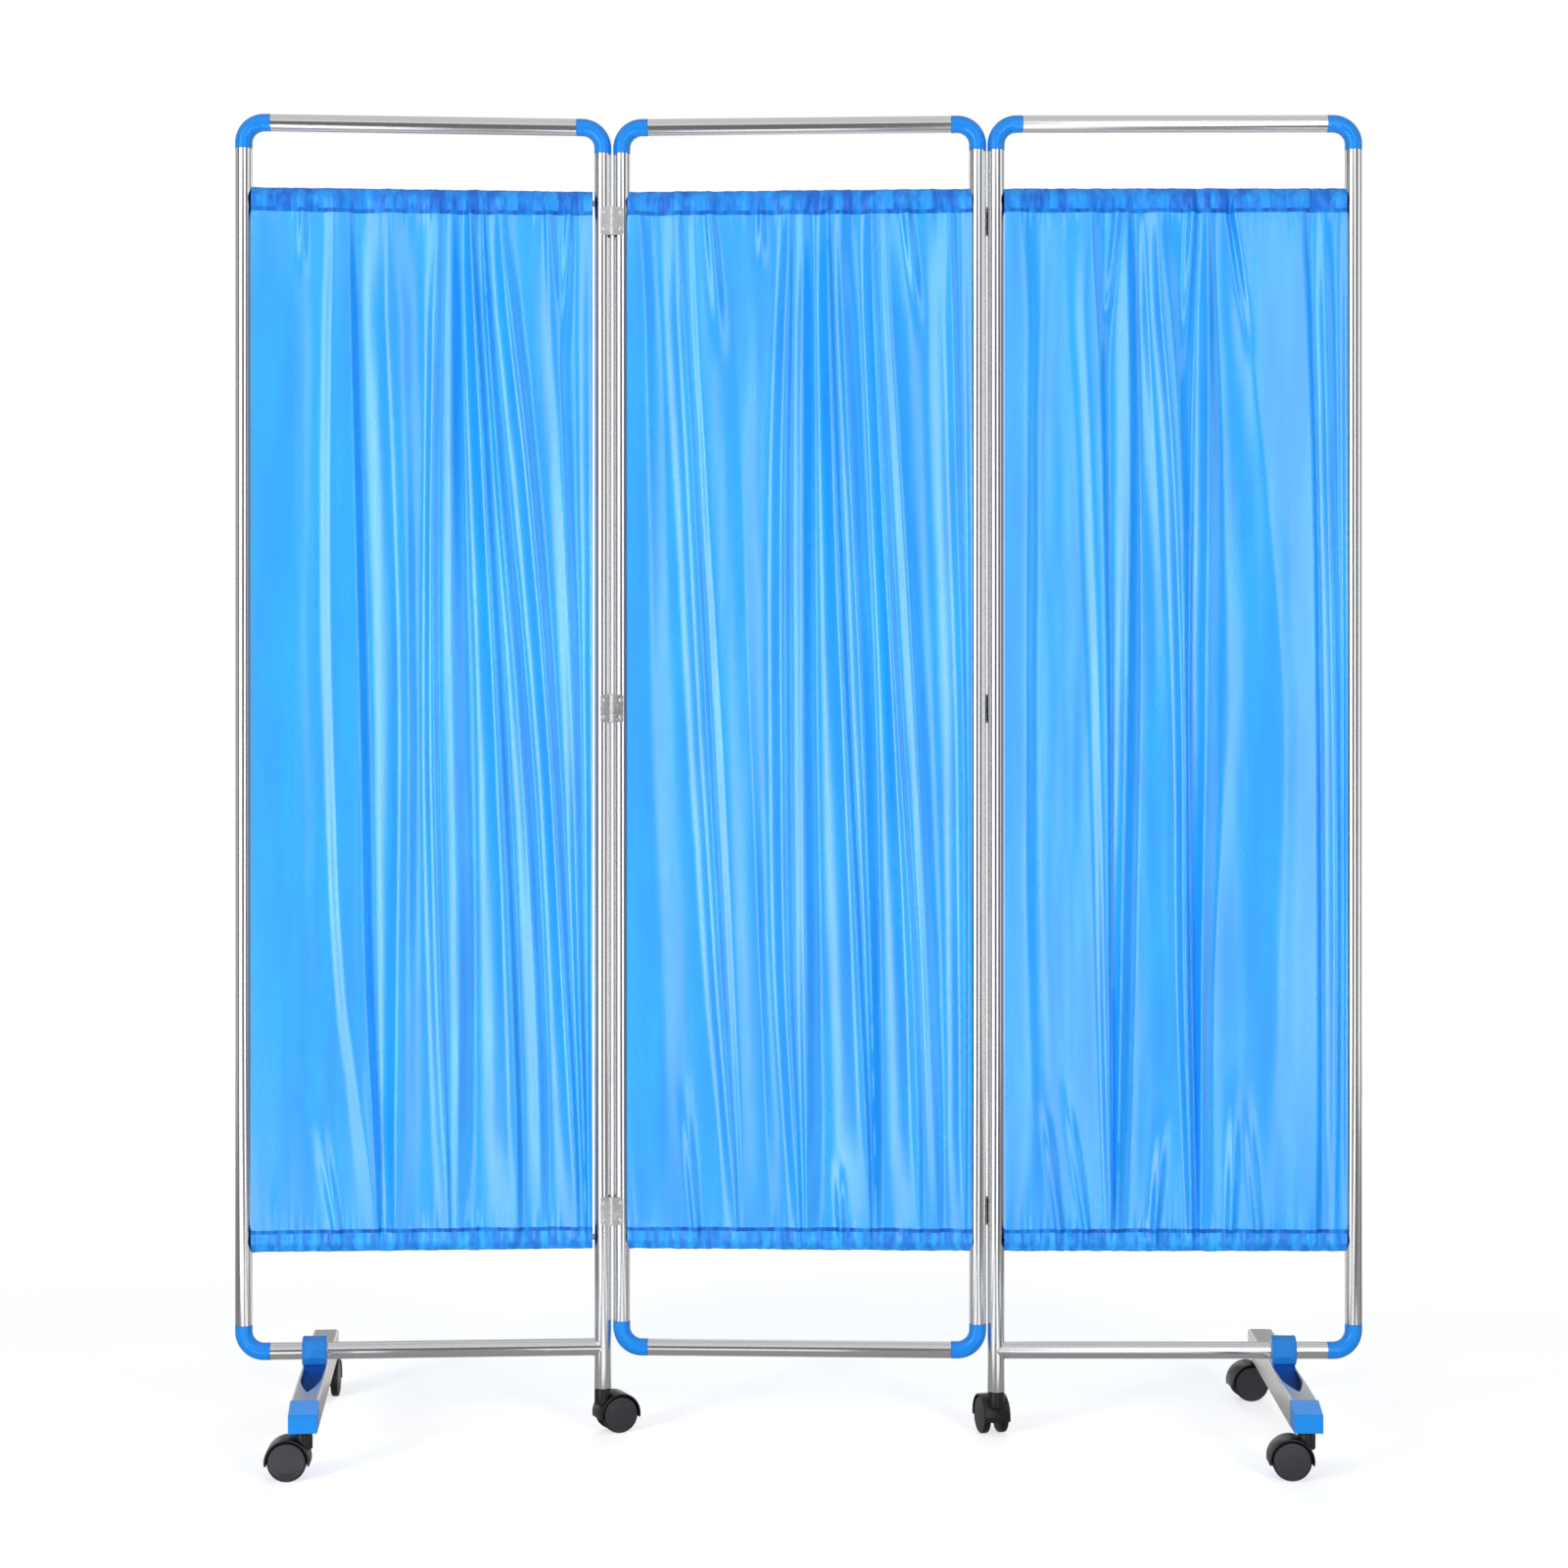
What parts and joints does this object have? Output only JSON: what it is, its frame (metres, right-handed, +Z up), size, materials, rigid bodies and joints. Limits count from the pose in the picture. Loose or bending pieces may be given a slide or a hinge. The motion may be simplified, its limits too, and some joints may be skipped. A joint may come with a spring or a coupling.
{
  "type": "folding privacy screen",
  "caption": "Folding ward privacy screen: hinged round-tube panels with rounded corners and gathered curtains, standing on cross feet and twin-wheel swivel castors.",
  "frame": {"origin": "middle of the footprint's box, on the floor under the castor treads", "axes": "+X along the middle panel to the right as seen from the front, +Y to the back, +Z up"},
  "size_m": [1.5318, 0.5318, 1.8],
  "materials": {
    "chromed_tube": "polished",
    "bright_steel": "bright",
    "blue_plastic": "gloss",
    "curtain_cloth": "satin",
    "black_plastic": "matte",
    "grey_wheels": "matte"
  },
  "bodies": {
    "middle_panel": {"middle_left_post": "chromed_tube", "middle_top_left_elbow": "blue_plastic", "middle_bottom_left_elbow": "blue_plastic", "middle_right_post": "chromed_tube", "middle_top_right_elbow": "blue_plastic", "middle_bottom_right_elbow": "blue_plastic", "middle_top_rail": "chromed_tube", "middle_bottom_rail": "chromed_tube", "middle_top_rod": "bright_steel", "middle_curtain": "curtain_cloth", "left_top_hinge_pin_leaf": "bright_steel", "left_middle_hinge_pin_leaf": "bright_steel", "left_bottom_hinge_pin_leaf": "bright_steel", "right_top_hinge_pin_leaf": "bright_steel", "right_middle_hinge_pin_leaf": "bright_steel", "right_bottom_hinge_pin_leaf": "bright_steel"},
    "left_wing": {"left_top_hinge_bored_leaf": "bright_steel", "left_middle_hinge_bored_leaf": "bright_steel", "left_bottom_hinge_bored_leaf": "bright_steel", "left_inner_post": "chromed_tube", "left_bottom_rail": "chromed_tube", "left_outer_post": "chromed_tube", "left_top_rail": "chromed_tube", "left_top_inner_elbow": "blue_plastic", "left_top_outer_elbow": "blue_plastic", "left_bottom_outer_elbow": "blue_plastic", "left_top_rod": "bright_steel", "left_curtain": "curtain_cloth", "left_foot_channel": "bright_steel", "left_front_foot_cap": "blue_plastic", "left_rear_foot_plug": "black_plastic", "left_rail_clamp": "blue_plastic"},
    "left_front_hood": {"left_front_castor_hood": "black_plastic"},
    "left_front_wheels": {"left_front_castor_wheels": "grey_wheels"},
    "left_rear_hood": {"left_rear_castor_hood": "black_plastic"},
    "left_rear_wheels": {"left_rear_castor_wheels": "grey_wheels"},
    "left_inner_hood": {"left_inner_castor_hood": "black_plastic"},
    "left_inner_wheels": {"left_inner_castor_wheels": "grey_wheels"},
    "right_wing": {"right_top_hinge_bored_leaf": "bright_steel", "right_middle_hinge_bored_leaf": "bright_steel", "right_bottom_hinge_bored_leaf": "bright_steel", "right_inner_post": "chromed_tube", "right_bottom_rail": "chromed_tube", "right_outer_post": "chromed_tube", "right_top_rail": "chromed_tube", "right_top_inner_elbow": "blue_plastic", "right_top_outer_elbow": "blue_plastic", "right_bottom_outer_elbow": "blue_plastic", "right_top_rod": "bright_steel", "right_curtain": "curtain_cloth", "right_foot_channel": "bright_steel", "right_front_foot_cap": "blue_plastic", "right_rear_foot_plug": "black_plastic", "right_rail_clamp": "blue_plastic"},
    "right_front_hood": {"right_front_castor_hood": "black_plastic"},
    "right_front_wheels": {"right_front_castor_wheels": "grey_wheels"},
    "right_rear_hood": {"right_rear_castor_hood": "black_plastic"},
    "right_rear_wheels": {"right_rear_castor_wheels": "grey_wheels"},
    "right_inner_hood": {"right_inner_castor_hood": "black_plastic"},
    "right_inner_wheels": {"right_inner_castor_wheels": "grey_wheels"}
  },
  "joints": [
    {"name": "left_fold", "type": "hinge", "parent": "middle_panel", "child": "left_wing", "pos_m": [-0.25651, -0.00021, 0.992], "axis": [0, 0, 1], "range_deg": [-6, 170]},
    {"name": "right_fold", "type": "hinge", "parent": "middle_panel", "child": "right_wing", "pos_m": [0.25499, 0.02679, 0.992], "axis": [0, 0, 1], "range_deg": [-2.2, 173.8]},
    {"name": "left_front_swivel", "type": "hinge", "parent": "left_wing", "child": "left_front_hood", "pos_m": [-0.62645, -0.24146, 0.06], "axis": [0, 0, 1], "continuous": true},
    {"name": "left_front_roll", "type": "hinge", "parent": "left_front_hood", "child": "left_front_wheels", "pos_m": [-0.64631, -0.24379, 0.025], "axis": [0.1167, -0.9932, 0], "continuous": true},
    {"name": "left_rear_swivel", "type": "hinge", "parent": "left_wing", "child": "left_rear_hood", "pos_m": [-0.69149, 0.18359, 0.06], "axis": [0, 0, 1], "continuous": true},
    {"name": "left_rear_roll", "type": "hinge", "parent": "left_rear_hood", "child": "left_rear_wheels", "pos_m": [-0.69313, 0.20353, 0.025], "axis": [-0.9966, -0.0819, 0], "continuous": true},
    {"name": "left_inner_swivel", "type": "hinge", "parent": "left_wing", "child": "left_inner_hood", "pos_m": [-0.27011, 0.01194, 0.06], "axis": [0, 0, 1], "continuous": true},
    {"name": "left_inner_roll", "type": "hinge", "parent": "left_inner_hood", "child": "left_inner_wheels", "pos_m": [-0.25245, 0.02133, 0.025], "axis": [-0.4695, 0.8829, 0], "continuous": true},
    {"name": "right_inner_swivel", "type": "hinge", "parent": "right_wing", "child": "right_inner_hood", "pos_m": [0.26774, 0.01377, 0.06], "axis": [0, 0, 1], "continuous": true},
    {"name": "right_inner_roll", "type": "hinge", "parent": "right_inner_hood", "child": "right_inner_wheels", "pos_m": [0.26217, 0.03298, 0.025], "axis": [-0.9603, -0.279, 0], "continuous": true},
    {"name": "right_front_swivel", "type": "hinge", "parent": "right_wing", "child": "right_front_hood", "pos_m": [0.65658, -0.18621, 0.06], "axis": [0, 0, 1], "continuous": true},
    {"name": "right_front_roll", "type": "hinge", "parent": "right_front_hood", "child": "right_front_wheels", "pos_m": [0.63658, -0.18604, 0.025], "axis": [-0.0087, -1, 0], "continuous": true},
    {"name": "right_rear_swivel", "type": "hinge", "parent": "right_wing", "child": "right_rear_hood", "pos_m": [0.66033, 0.24377, 0.06], "axis": [0, 0, 1], "continuous": true},
    {"name": "right_rear_roll", "type": "hinge", "parent": "right_rear_hood", "child": "right_rear_wheels", "pos_m": [0.64061, 0.24047, 0.025], "axis": [0.165, -0.9863, 0], "continuous": true}
  ]
}
